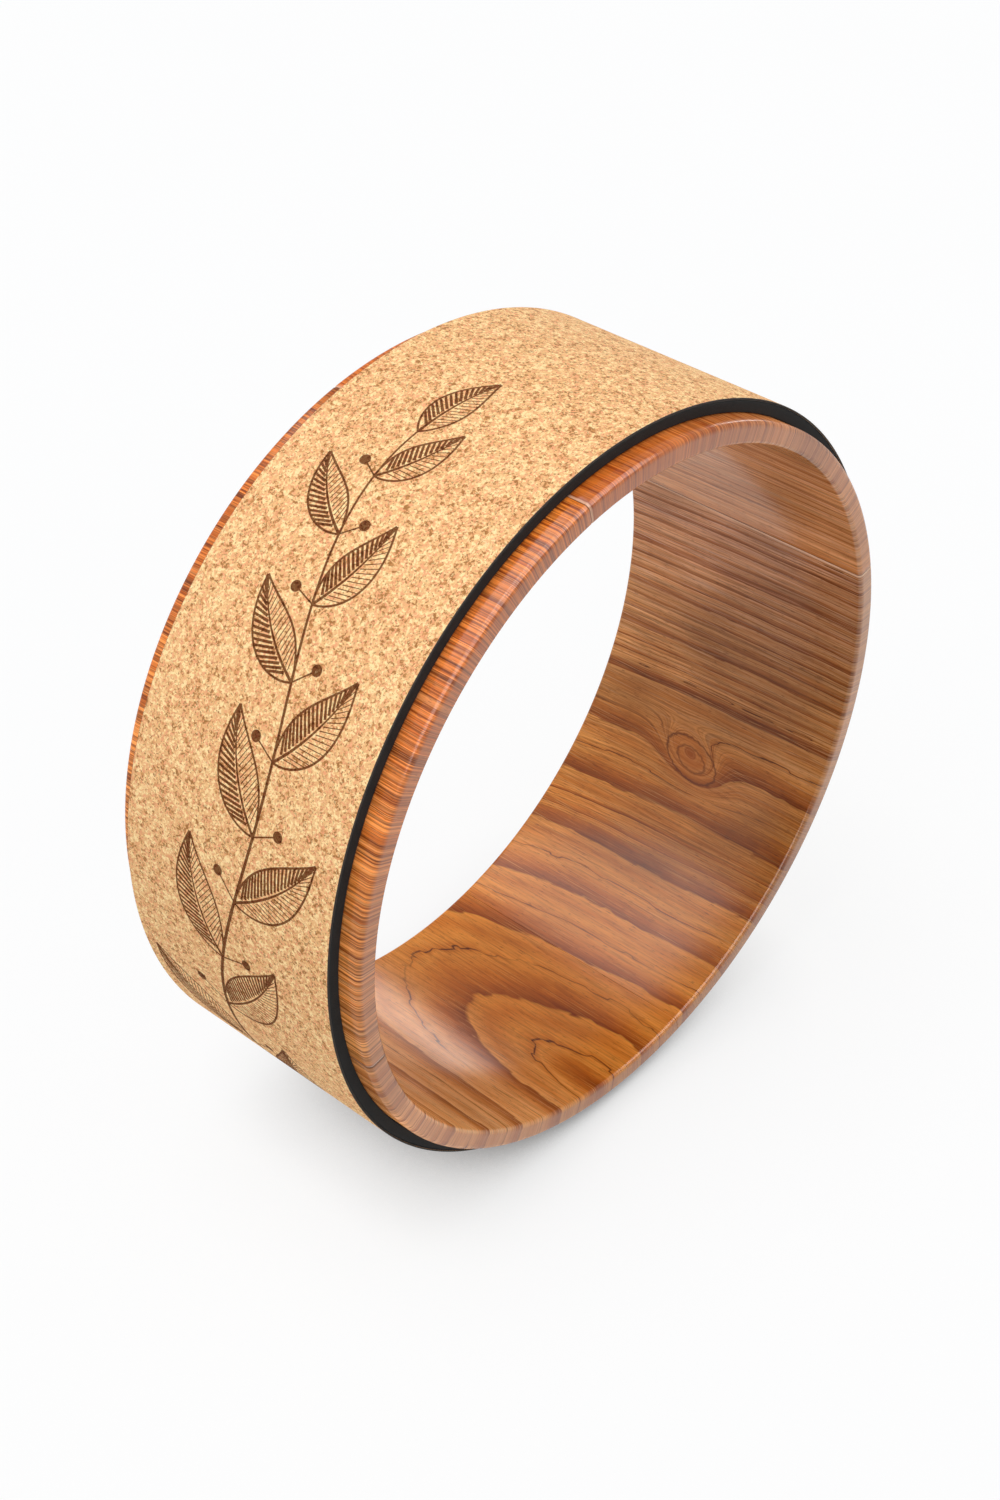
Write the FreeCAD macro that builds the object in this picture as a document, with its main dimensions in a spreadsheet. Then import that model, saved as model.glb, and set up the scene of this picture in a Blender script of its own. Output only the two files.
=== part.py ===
# Yoga wheel: a moulded hoop wrapped in four wood-grain sheets, with a foam pad and a cork cover round it.
# Millimetres. The wheel stands on its tread: +Z is up, its axis runs along Y and its centre is the origin.
# Angles about the axis run from +X towards +Z.
import FreeCAD, Part
import math
import os
import Sketcher

# Driving dimensions, with angles in degrees
DIMENSIONS = {
    "tread_diameter": 330,  # over the cork
    "overall_width": 128,  # over both finished rims
    "bare_rim": 10,  # width of the rim that the pad leaves bare on each side
    "hoop_wall": 8.1,
    "rim_outer_round": 2.5,  # on the finished rim
    "rim_inner_round": 2,
    "foil_thickness": 0.4,
    "foil_tuck": 8,  # how far a sheet runs on under the edge of the pad
    "foil_seam": 0.2,  # open seam between two sheets, at the tread side of the rim
    "foil_start": 13,  # where the first sheet starts
    "foam_thickness": 4.7,
    "glue_thickness": 0.2,
    "cork_thickness": 0.5,
    "bond_gap": 0.2,  # left between two layers that are stuck together
    "butt_gap": 0.3,  # left where the two ends of a wrapped strip meet
    "foam_joint": -40,  # where the ends of the foam and of its tape meet
    "cork_joint": -65,  # where the ends of the cork and of its glue meet
}
FOIL_SHEETS = 4

# Radii from the tread inwards, each as an expression on the sheet. A layer's front is its outer face.
TREAD = "Size.tread_diameter / 2"
CORK_BACK = f"{TREAD} - Size.cork_thickness"
GLUE_FRONT = f"{CORK_BACK} - Size.bond_gap"
GLUE_BACK = f"{GLUE_FRONT} - Size.glue_thickness"
FOAM_FRONT = f"{GLUE_BACK} - Size.bond_gap"
FOAM_BACK = f"{FOAM_FRONT} - Size.foam_thickness"
SEAT = f"{FOAM_BACK} - Size.bond_gap"
SEAT_BACK = f"{SEAT} - Size.foil_thickness"
HOOP_FRONT = f"{SEAT_BACK} - Size.bond_gap"
HOOP_BACK = f"{HOOP_FRONT} - Size.hoop_wall"
LINING_BACK = f"{HOOP_BACK} - Size.bond_gap"
LINING = f"{LINING_BACK} - Size.foil_thickness"

# Widths along the axis
RIM_WIDTH = "Size.overall_width"
WRAP_WIDTH = f"{RIM_WIDTH} - 2 * Size.foil_thickness"
HOOP_WIDTH = f"{WRAP_WIDTH} - 2 * Size.bond_gap"
PAD_WIDTH = f"{RIM_WIDTH} - 2 * Size.bare_rim"
TAPE_WIDTH = f"{PAD_WIDTH} - 2 * Size.foil_tuck"

# Rounds of the rim: on the finished foil, on the back of the foil and on the hoop under it
RIM_ROUNDS = ("Size.rim_inner_round", "Size.rim_outer_round")
WRAP_ROUNDS = tuple(f"{radius} - Size.foil_thickness" for radius in RIM_ROUNDS)
HOOP_ROUNDS = tuple(f"{radius} - Size.bond_gap" for radius in WRAP_ROUNDS)

FULL_TURN = "360"

# In a sketch constraint, point 1 is where a line or arc starts and point 2 is where it ends.
# Geometry -1 is the sketch's own X axis, and its point 1 is the origin.

doc = FreeCAD.newDocument("yoga_wheel")


def make_sheet():
    """Write every driving dimension into a cell with its name as the alias."""
    sheet = doc.addObject("Spreadsheet::Sheet", "Size")
    for row, (name, number) in enumerate(DIMENSIONS.items(), start=1):
        sheet.set(f"A{row}", name)
        sheet.set(f"B{row}", str(number))
        sheet.setAlias(f"B{row}", name)
    doc.recompute()
    return sheet


size_sheet = make_sheet()


def value(expression):
    """What an expression comes to with the sheet's present numbers."""
    return float(size_sheet.evalExpression(expression))


def gap_angle(gap, radius):
    """The angle, as an expression, that a gap takes at a radius."""
    return f"({gap}) / ({radius}) * 180 / pi"


def section_sketch(body, name):
    """A sketch in the XY plane, where X is the radius and Y runs along the wheel's axis."""
    sketch = body.newObject("Sketcher::SketchObject", name)
    plane = next(item for item in body.Origin.OriginFeatures if item.Role == "XY_Plane")
    sketch.AttachmentSupport = [(plane, "")]
    sketch.MapMode = "FlatFace"
    return sketch


def dimension(sketch, name, kind, places, expression):
    """Add a named dimension whose size follows an expression."""
    index = sketch.addConstraint(Sketcher.Constraint(kind, *places, value(expression)))
    sketch.renameConstraint(index, name)
    sketch.setExpression(f"Constraints.{name}", expression)


def set_walls(sketch, sides, inner, outer, width):
    """Hold the four straight sides square, centred on the wheel and at their radii and width."""
    near_face, outer_wall, far_face, inner_wall = sides
    sketch.addConstraint(Sketcher.Constraint("Horizontal", near_face))
    sketch.addConstraint(Sketcher.Constraint("Horizontal", far_face))
    sketch.addConstraint(Sketcher.Constraint("Vertical", inner_wall))
    sketch.addConstraint(Sketcher.Constraint("Symmetric", outer_wall, 1, outer_wall, 2, -1))
    dimension(sketch, "inner_radius", "DistanceX", (-1, 1, inner_wall, 1), inner)
    dimension(sketch, "outer_radius", "DistanceX", (-1, 1, outer_wall, 1), outer)
    dimension(sketch, "width", "DistanceY", (near_face, 2, far_face, 1), width)


def line(start, end):
    return Part.LineSegment(FreeCAD.Vector(*start), FreeCAD.Vector(*end))


def corner(centre, radius, quarter):
    """A quarter circle, where quarter 0 runs from +X to +Y."""
    circle = Part.Circle(FreeCAD.Vector(*centre), FreeCAD.Vector(0, 0, 1), radius)
    return Part.ArcOfCircle(circle, math.radians(90 * quarter), math.radians(90 * (quarter + 1)))


def plain_section(body, name, inner, outer, width):
    """A rectangle between two radii."""
    sketch = section_sketch(body, name)
    near, far = value(inner), value(outer)
    half = value(width) / 2
    corners = [(near, -half, 0), (far, -half, 0), (far, half, 0), (near, half, 0)]
    for index in range(4):
        sketch.addGeometry(line(corners[index], corners[(index + 1) % 4]))
    for index in range(4):
        sketch.addConstraint(Sketcher.Constraint("Coincident", index, 2, (index + 1) % 4, 1))
    set_walls(sketch, (0, 1, 2, 3), inner, outer, width)
    return sketch


def rounded_section(body, name, inner, outer, width, rounds):
    """A rectangle between two radii, with one round on its inner corners and another on its outer ones."""
    sketch = section_sketch(body, name)
    inner_round, outer_round = rounds
    near, far = value(inner), value(outer)
    half = value(width) / 2
    small, large = value(inner_round), value(outer_round)
    outline = [
        line((near + small, -half, 0), (far - large, -half, 0)),
        corner((far - large, -half + large, 0), large, 3),
        line((far, -half + large, 0), (far, half - large, 0)),
        corner((far - large, half - large, 0), large, 0),
        line((far - large, half, 0), (near + small, half, 0)),
        corner((near + small, half - small, 0), small, 1),
        line((near, half - small, 0), (near, -half + small, 0)),
        corner((near + small, -half + small, 0), small, 2),
    ]
    for piece in outline:
        sketch.addGeometry(piece)
    for index in range(8):
        sketch.addConstraint(Sketcher.Constraint("Tangent", index, 2, (index + 1) % 8, 1))
    set_walls(sketch, (0, 2, 4, 6), inner, outer, width)
    sketch.addConstraint(Sketcher.Constraint("Equal", 1, 3))
    sketch.addConstraint(Sketcher.Constraint("Equal", 5, 7))
    dimension(sketch, "outer_round", "Radius", (1,), outer_round)
    dimension(sketch, "inner_round", "Radius", (5,), inner_round)
    return sketch


def turn(body, kind, name, sketch, sweep):
    """Revolve a section about the wheel's axis, from +X towards +Z."""
    feature = body.newObject(kind, name)
    feature.Profile = sketch
    feature.ReferenceAxis = (sketch, ["V_Axis"])
    feature.Reversed = True
    feature.setExpression("Angle", sweep)
    doc.recompute()
    return feature


def turn_to(body, angle):
    """Turn a body about the wheel's axis to an angle that follows an expression."""
    body.Placement = FreeCAD.Placement(
        FreeCAD.Vector(0, 0, 0), FreeCAD.Rotation(FreeCAD.Vector(0, -1, 0), value(angle))
    )
    body.setExpression("Placement.Rotation.Angle", angle)


def make_body(label):
    body = doc.addObject("PartDesign::Body", label)
    body.Label = label
    return body


def make_hoop():
    """The moulded ring that carries everything."""
    body = make_body("hoop")
    section = rounded_section(body, "hoop_section", HOOP_BACK, HOOP_FRONT, HOOP_WIDTH, HOOP_ROUNDS)
    turn(body, "PartDesign::Revolution", "hoop_ring", section, FULL_TURN)
    return body


def make_foil(index):
    """One sheet of foil: lines the bore, wraps both rims and ends under the edges of the pad."""
    label = f"grain_foil_{index + 1}"
    body = make_body(label)
    seam = gap_angle("Size.foil_seam", SEAT)
    share = f"{FULL_TURN} / {FOIL_SHEETS}"
    rim = rounded_section(body, f"{label}_rim", LINING, SEAT, RIM_WIDTH, RIM_ROUNDS)
    block = turn(body, "PartDesign::Revolution", f"{label}_block", rim, f"{share} - {seam}")
    core = rounded_section(body, f"{label}_core", LINING_BACK, SEAT_BACK, WRAP_WIDTH, WRAP_ROUNDS)
    shell = turn(body, "PartDesign::Groove", f"{label}_shell", core, FULL_TURN)
    tape = plain_section(body, f"{label}_tape", SEAT_BACK, SEAT, TAPE_WIDTH)
    sheet = turn(body, "PartDesign::Groove", f"{label}_sheet", tape, FULL_TURN)
    if not sheet.Shape.Volume < shell.Shape.Volume < block.Shape.Volume:
        raise RuntimeError(f"{label}: a cut took nothing away")
    turn_to(body, f"Size.foil_start + {index} * {share} + {seam} / 2")
    return body


def make_strip(label, inner, outer, width, joint):
    """A strip wrapped once round the hoop, with a narrow gap where its ends meet."""
    body = make_body(label)
    gap = gap_angle("Size.butt_gap", outer)
    section = plain_section(body, f"{label}_section", inner, outer, width)
    turn(body, "PartDesign::Revolution", f"{label}_wrap", section, f"{FULL_TURN} - {gap}")
    turn_to(body, f"{joint} + {gap} / 2")
    return body


def make_pieces():
    pieces = [make_hoop()]
    for index in range(FOIL_SHEETS):
        pieces.append(make_foil(index))
    strips = {
        "pad_tape": (SEAT_BACK, SEAT, TAPE_WIDTH, "Size.foam_joint"),
        "foam_pad": (FOAM_BACK, FOAM_FRONT, PAD_WIDTH, "Size.foam_joint"),
        "cork_glue": (GLUE_BACK, GLUE_FRONT, PAD_WIDTH, "Size.cork_joint"),
        "cork_cover": (CORK_BACK, TREAD, PAD_WIDTH, "Size.cork_joint"),
    }
    for label, sizes in strips.items():
        pieces.append(make_strip(label, *sizes))
    doc.recompute()
    return pieces


def check(pieces):
    """Stop if anything in the document failed or a piece isn't one sound solid."""
    for item in doc.Objects:
        if "Invalid" in item.State or "Error" in item.State:
            raise RuntimeError(f"{item.Label} failed: {item.State}")
    for piece in pieces:
        shape = piece.Shape
        if shape.isNull() or not shape.isValid() or len(shape.Solids) != 1:
            raise RuntimeError(f"{piece.Label} is not one sound solid")


def write(pieces):
    os.makedirs("parts", exist_ok=True)
    for piece in pieces:
        piece.Shape.exportStep(f"parts/{piece.Label}.step")
        print(f"{piece.Label}: {piece.Shape.Volume / 1000:.1f} cm3")


wheel = make_pieces()
check(wheel)
write(wheel)
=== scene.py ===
# The looks of a yoga wheel, in metres, in the frame of its CAD model: +Z up, the wheel's axis along Y.
# Angles round the wheel run from +X towards +Z. The near side, which the camera sees, is at -Y.
import math
import bpy
from mathutils import Matrix, Vector


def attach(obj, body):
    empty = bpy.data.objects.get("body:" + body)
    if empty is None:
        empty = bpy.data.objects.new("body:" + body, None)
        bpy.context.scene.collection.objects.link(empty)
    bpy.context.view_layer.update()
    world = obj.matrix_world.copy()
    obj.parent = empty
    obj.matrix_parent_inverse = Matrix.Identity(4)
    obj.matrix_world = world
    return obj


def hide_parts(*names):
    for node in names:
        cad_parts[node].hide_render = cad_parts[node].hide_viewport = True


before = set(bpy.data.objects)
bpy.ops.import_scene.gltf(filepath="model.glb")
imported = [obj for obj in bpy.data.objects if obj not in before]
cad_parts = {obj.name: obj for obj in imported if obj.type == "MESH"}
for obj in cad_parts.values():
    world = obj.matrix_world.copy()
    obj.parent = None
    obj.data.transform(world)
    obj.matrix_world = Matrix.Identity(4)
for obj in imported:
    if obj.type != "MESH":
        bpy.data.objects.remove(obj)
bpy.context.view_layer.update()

MM = 0.001


# Sizes read from the frame

def corners(node):
    """The points of a CAD node's mesh."""
    return [vertex.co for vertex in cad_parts[node].data.vertices]


def ring(node):
    """Inner radius, outer radius and half width of a CAD node that goes round the Y axis."""
    points = corners(node)
    radii = [math.hypot(point.x, point.z) for point in points]
    return min(radii), max(radii), max(abs(point.y) for point in points)


def reach(node):
    """First and last angle of a CAD node that goes part of the way round the Y axis."""
    points = corners(node)
    middle = math.atan2(sum(point.z for point in points), sum(point.x for point in points))
    turns = [math.atan2(point.z, point.x) - middle for point in points]
    turns = [math.remainder(turn, math.tau) for turn in turns]
    return middle + min(turns), middle + max(turns)


FOILS = ["grain_foil_1", "grain_foil_2", "grain_foil_3", "grain_foil_4"]
BORE, SEAT, RIM = ring(FOILS[0])
ON_SEAT = SEAT - 0.01 * MM
TUCK = min(abs(point.y) for point in corners(FOILS[0]) if math.hypot(point.x, point.z) > ON_SEAT)
FOAM_BACK, FOAM_FACE, PAD = ring("foam_pad")
CORK_BACK, TREAD, CORK = ring("cork_cover")

# Sizes that are the same in the CAD model

FOIL_THICKNESS = 0.4 * MM
OUTER_ROUND = 2.5 * MM
INNER_ROUND = 2.0 * MM
FOAM_JOINT = math.radians(-40)
CORK_JOINT = math.radians(-65)
JOINT_GAP = 0.3 * MM

# Rounded and hollow cut edges, which the CAD solids leave out

FOAM_ROUND = 0.4 * MM
FOAM_HOLLOW = 0.12 * MM
CORK_ROUND = 0.12 * MM
CORK_HOLLOW = 0.02 * MM

# Fineness of the meshes

ROUND_STEPS = 8
STEP = math.radians(1)
SHARP_ANGLE = math.radians(35)


# Meshes

def make_object(name, points, faces):
    """A new object with smooth faces that keep their sharp edges."""
    mesh = bpy.data.meshes.new(name)
    mesh.from_pydata(points, [], faces)
    mesh.validate()
    mesh.shade_smooth()
    mesh.set_sharp_from_angle(angle=SHARP_ANGLE)
    item = bpy.data.objects.new(name, mesh)
    bpy.context.collection.objects.link(item)
    return item


def stand_in(item, node):
    """The new object takes the place of a CAD node."""
    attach(item, "root")
    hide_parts(node)


def round_the_axis(radius, y, angle):
    """The point at a radius, a height along the Y axis and an angle."""
    return (radius * math.cos(angle), y, radius * math.sin(angle))


def mirrored(points):
    """The points, then their mirror images across the wheel's middle plane, as one line."""
    return points + [(radius, -y) for radius, y in reversed(points)]


def arc(centre, radius, first, last):
    """Points of a section on a quarter round. Angle 0 points outwards and 90 degrees to the near side."""
    points = []
    for step in range(ROUND_STEPS + 1):
        turn = math.radians(first + (last - first) * step / ROUND_STEPS)
        points.append((centre[0] + radius * math.cos(turn), centre[1] - radius * math.sin(turn)))
    return points


def sweep(name, face, back, places, give):
    """A closed strip with the section between two lines of equal length, swept through places.

    A place is an angle and a sink: 0 leaves the face line as it is and 1 lowers it to the back line.
    give holds, for each point of the face line, how far it follows the sink.
    """
    points = []
    for angle, sink in places:
        for upper, lower, share in zip(face, back, give):
            radius = upper[0] + (lower[0] - upper[0]) * sink * share
            y = upper[1] + (lower[1] - upper[1]) * sink * share
            points.append(round_the_axis(radius, y, angle))
        for radius, y in reversed(back):
            points.append(round_the_axis(radius, y, angle))
    size = 2 * len(face)
    faces = []
    for start in range(0, size * (len(places) - 1), size):
        for index in range(size):
            after = (index + 1) % size
            faces.append((start + index, start + index + size, start + after + size, start + after))
    last = size * (len(places) - 1)
    for index in range(len(face) - 1):
        other = size - 1 - index
        faces.append((index, index + 1, other - 1, other))
        faces.append((last + other, last + other - 1, last + index + 1, last + index))
    return make_object(name, points, faces)


def stations(first, last, radius, first_edge, last_edge):
    """Places from first to last, one step apart. An edge holds (distance from the end, sink)."""
    near = [(first + distance / radius, sink) for distance, sink in first_edge]
    far = [(last - distance / radius, sink) for distance, sink in reversed(last_edge)]
    count = round((last - first) / STEP)
    middle = [(first + (last - first) * index / count, 0) for index in range(1, count)]
    return near + middle + far


# Foil sheets

SEAM_EDGE = [(0, 0.9), (0.25 * MM, 0.4), (0.6 * MM, 0)]
FLUSH_EDGE = [(0, 0)]
BORE_GIVE = 0.5
# The seam where the third sheet ends and the fourth starts hardly shows, so it lies flush.
FLUSH_END = FOILS[2]
FLUSH_START = FOILS[3]


def foil_line(depth):
    """The foil's section at a depth under its shown face, from one tucked edge to the other."""
    outer_centre = (SEAT - OUTER_ROUND, OUTER_ROUND - RIM)
    inner_centre = (BORE + INNER_ROUND, INNER_ROUND - RIM)
    near = [(SEAT - depth, -TUCK)]
    near += arc(outer_centre, OUTER_ROUND - depth, 0, 90)
    near += arc(inner_centre, INNER_ROUND - depth, 90, 180)
    return mirrored(near)


def make_foil(node):
    """A sheet round the inside and both rims, whose ends dip at the open seams, less so in the bore."""
    first, last = reach(node)
    first_edge = FLUSH_EDGE if node == FLUSH_START else SEAM_EDGE
    last_edge = FLUSH_EDGE if node == FLUSH_END else SEAM_EDGE
    places = stations(first, last, SEAT, first_edge, last_edge)
    face = foil_line(0)
    give = [max((radius - BORE) / (SEAT - BORE), BORE_GIVE) for radius, y in face]
    sheet = sweep("wood_" + node, face, foil_line(FOIL_THICKNESS), places, give)
    stand_in(sheet, node)
    return sheet, (first + last) / 2


# Foam pad and cork

JOINT_EDGE = [(0, 0.06), (0.15 * MM, 0.015), (0.4 * MM, 0)]
SIDE_EDGE = 0.02 * MM


def half_section(face, middle, half, corner, hollow):
    """Section from the middle of the far side over a face with rounded corners to the near side."""
    drop = math.copysign(corner, middle - face)
    far = [(middle, half - hollow)]
    for step in range(ROUND_STEPS + 1):
        turn = math.radians(90) * step / ROUND_STEPS
        far.append((face + drop * (1 - math.sin(turn)), half - corner * (1 - math.cos(turn))))
    return mirrored(far)


def make_strip(name, node, inner, outer, half, corner, hollow, joint):
    """A strip bent round the wheel, with a small gap where its two ends meet."""
    middle = (inner + outer) / 2
    gap = JOINT_GAP / outer
    places = stations(joint + gap / 2, joint + math.tau - gap / 2, outer, JOINT_EDGE, JOINT_EDGE)
    face = half_section(outer, middle + SIDE_EDGE / 2, half, corner, hollow)
    back = half_section(inner, middle - SIDE_EDGE / 2, half, corner, hollow)
    strip = sweep(name, face, back, places, [1] * len(face))
    stand_in(strip, node)
    return strip


# Print on the cork

INK_LIFT = 0.02 * MM
LINE = 0.9 * MM
SPRIG_LENGTH = 350 * MM
SPRIG_SWAY = 12 * MM
SPRIG_WAVE = 270 * MM
SPRIG_BASES = [math.radians(227), math.radians(47)]
STEM_POINTS = 120
STEM_WIDTHS = (2.2 * LINE, 0.9 * LINE)
LEAVES = 11
# The first leaf's place as a share of the stem, and how much closer the leaves stand towards the tip
FIRST_LEAF = 0.05
LEAF_CROWDING = 0.2
LEAF_POINTS = 24
LEAF_LENGTHS = (62 * MM, 34 * MM)
LEAF_SLIMNESS = 0.40
LEAF_LEAN = math.radians(50)
LEAF_BEND = math.radians(-34)
LEAF_TIP = 0.15 * MM
# A power under 1 puts a leaf's broadest place nearer to its foot.
LEAF_POWER = 0.8
TIP_LEAF_LENGTH = LEAF_LENGTHS[1] * 1.15
TIP_LEAF_BEND = LEAF_BEND / 3
MIDRIB_WIDTHS = (1.4 * LINE, 0.5 * LINE)
VEIN_PITCH = 2.1 * MM
VEIN_LEAN = 0.13
# Side of the midrib and width of the veins there
VEIN_WIDTHS = ((-1, 0.45 * LINE), (1, 1.35 * LINE))
VEIN_SHARES = (0.12, 0.4, 0.7, 0.98)
VEIN_TAPER = 0.8
# How far short of a leaf's last point a vein stops, in steps between its points
VEIN_STOP = 0.01
BERRY = 2.3 * MM
BERRY_POINTS = 13
BERRY_END = 0.02
BERRY_LEAN = math.radians(58)
BERRY_STALK = 0.26
STALK_POINTS = 6
STALK_WIDTH = 0.7 * LINE


class Print:
    """Collects flat shapes drawn on the unrolled tread and lays them on it as a thin closed skin."""

    def __init__(self, base):
        self.base = base
        self.points = []
        self.faces = []

    def place(self, point, lift):
        return round_the_axis(TREAD + lift, point[1], self.base - point[0] / TREAD)

    def ribbon(self, left, right):
        """A shape between two lines with the same number of points."""
        start = len(self.points)
        for one, other in zip(left, right):
            self.points.append(self.place(one, INK_LIFT))
            self.points.append(self.place(other, INK_LIFT))
            self.points.append(self.place(other, -INK_LIFT))
            self.points.append(self.place(one, -INK_LIFT))
        for first in range(start, len(self.points) - 4, 4):
            for side in range(4):
                after = (side + 1) % 4
                self.faces.append((first + side, first + after, first + after + 4, first + side + 4))
        end = len(self.points) - 4
        self.faces.append((start + 3, start + 2, start + 1, start))
        self.faces.append((end, end + 1, end + 2, end + 3))

    def stroke(self, line, widths):
        """A line of the given widths at its points."""
        left = []
        right = []
        for index, point in enumerate(line):
            before = line[max(index - 1, 0)]
            after = line[min(index + 1, len(line) - 1)]
            across = (after - before).orthogonal().normalized() * widths[index] / 2
            left.append(point + across)
            right.append(point - across)
        self.ribbon(left, right)


def tapered(count, thick, thin):
    """Widths that go from thick to thin."""
    return [thick + (thin - thick) * index / (count - 1) for index in range(count)]


def leaf_lines(base, heading, length, bend):
    """Middle line of a leaf and the half width vector at each of its points."""
    middle = [base]
    for index in range(1, LEAF_POINTS):
        turn = heading + bend * index / LEAF_POINTS
        middle.append(middle[-1] + Vector((math.cos(turn), math.sin(turn))) * length / (LEAF_POINTS - 1))
    halves = []
    for index in range(LEAF_POINTS):
        turn = heading + bend * index / LEAF_POINTS
        share = index / (LEAF_POINTS - 1)
        half = max(length * LEAF_SLIMNESS / 2 * math.sin(math.pi * share ** LEAF_POWER), LEAF_TIP)
        halves.append(Vector((-math.sin(turn), math.cos(turn))) * half)
    return middle, halves


def draw_leaf(ink, base, heading, length, bend):
    """A leaf with its outline, a midrib, fine veins on one half and broad ones on the other."""
    middle, halves = leaf_lines(base, heading, length, bend)
    last = LEAF_POINTS - 1
    for side in (-1, 1):
        edge = [point + half * side for point, half in zip(middle, halves)]
        ink.stroke(edge, [LINE] * LEAF_POINTS)
    ink.stroke(middle, tapered(LEAF_POINTS, *MIDRIB_WIDTHS))
    veins = round(length / VEIN_PITCH)
    for number in range(2, veins - 2):
        start = number / veins * last
        end = min(start + VEIN_LEAN * last, last - VEIN_STOP)
        foot = along(middle, start)
        for side, width in VEIN_WIDTHS:
            tip = along(middle, end) + along(halves, end) * side
            line = [foot.lerp(tip, share) for share in VEIN_SHARES]
            ink.stroke(line, tapered(len(VEIN_SHARES), width, VEIN_TAPER * width))


def along(line, index):
    """The point of a line at a fractional index."""
    whole = int(index)
    return line[whole].lerp(line[whole + 1], index - whole)


def stem_point(distance):
    """A point of the sprig's stem, measured from its foot."""
    return Vector((distance, SPRIG_SWAY * math.sin(math.tau * distance / SPRIG_WAVE)))


def stem_heading(distance):
    """The angle at which the stem runs at a distance from its foot."""
    slope = SPRIG_SWAY * math.tau / SPRIG_WAVE * math.cos(math.tau * distance / SPRIG_WAVE)
    return math.atan(slope)


def draw_berry(ink, centre):
    """A filled dot. Its two ends are cut off a little, so that no face closes to a line."""
    shares = [index / (BERRY_POINTS - 1) for index in range(BERRY_POINTS)]
    turns = [math.pi * (BERRY_END + (1 - 2 * BERRY_END) * share) for share in shares]
    left = [centre + Vector((-math.cos(turn), math.sin(turn))) * BERRY for turn in turns]
    right = [centre + Vector((-math.cos(turn), -math.sin(turn))) * BERRY for turn in turns]
    ink.ribbon(left, right)


def draw_sprig(ink):
    """A swaying stem with leaves by turns on its two sides, a berry opposite each and a leaf at the tip."""
    stem = [stem_point(SPRIG_LENGTH * index / (STEM_POINTS - 1)) for index in range(STEM_POINTS)]
    ink.stroke(stem, tapered(STEM_POINTS, *STEM_WIDTHS))
    for number in range(LEAVES):
        share = number / LEAVES
        crowded = share * (1 + LEAF_CROWDING - LEAF_CROWDING * share)
        distance = SPRIG_LENGTH * (FIRST_LEAF + (1 - FIRST_LEAF) * crowded)
        length = LEAF_LENGTHS[0] + (LEAF_LENGTHS[1] - LEAF_LENGTHS[0]) * share
        side = 1 if number % 2 else -1
        heading = stem_heading(distance)
        draw_leaf(ink, stem_point(distance), heading + side * LEAF_LEAN, length, side * LEAF_BEND)
        turn = heading - side * BERRY_LEAN
        foot = stem_point(distance)
        centre = foot + Vector((math.cos(turn), math.sin(turn))) * length * BERRY_STALK
        stalk = [foot.lerp(centre, step / (STALK_POINTS - 1)) for step in range(STALK_POINTS)]
        ink.stroke(stalk, [STALK_WIDTH] * STALK_POINTS)
        draw_berry(ink, centre)
    draw_leaf(ink, stem[-1], stem_heading(SPRIG_LENGTH), TIP_LEAF_LENGTH, TIP_LEAF_BEND)


def make_print(number, base):
    """A sprig on the tread, with its foot at the base angle."""
    ink = Print(base)
    draw_sprig(ink)
    item = make_object("cork_print_" + str(number), ink.points, ink.faces)
    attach(item, "root")
    return item


# Materials

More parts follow.
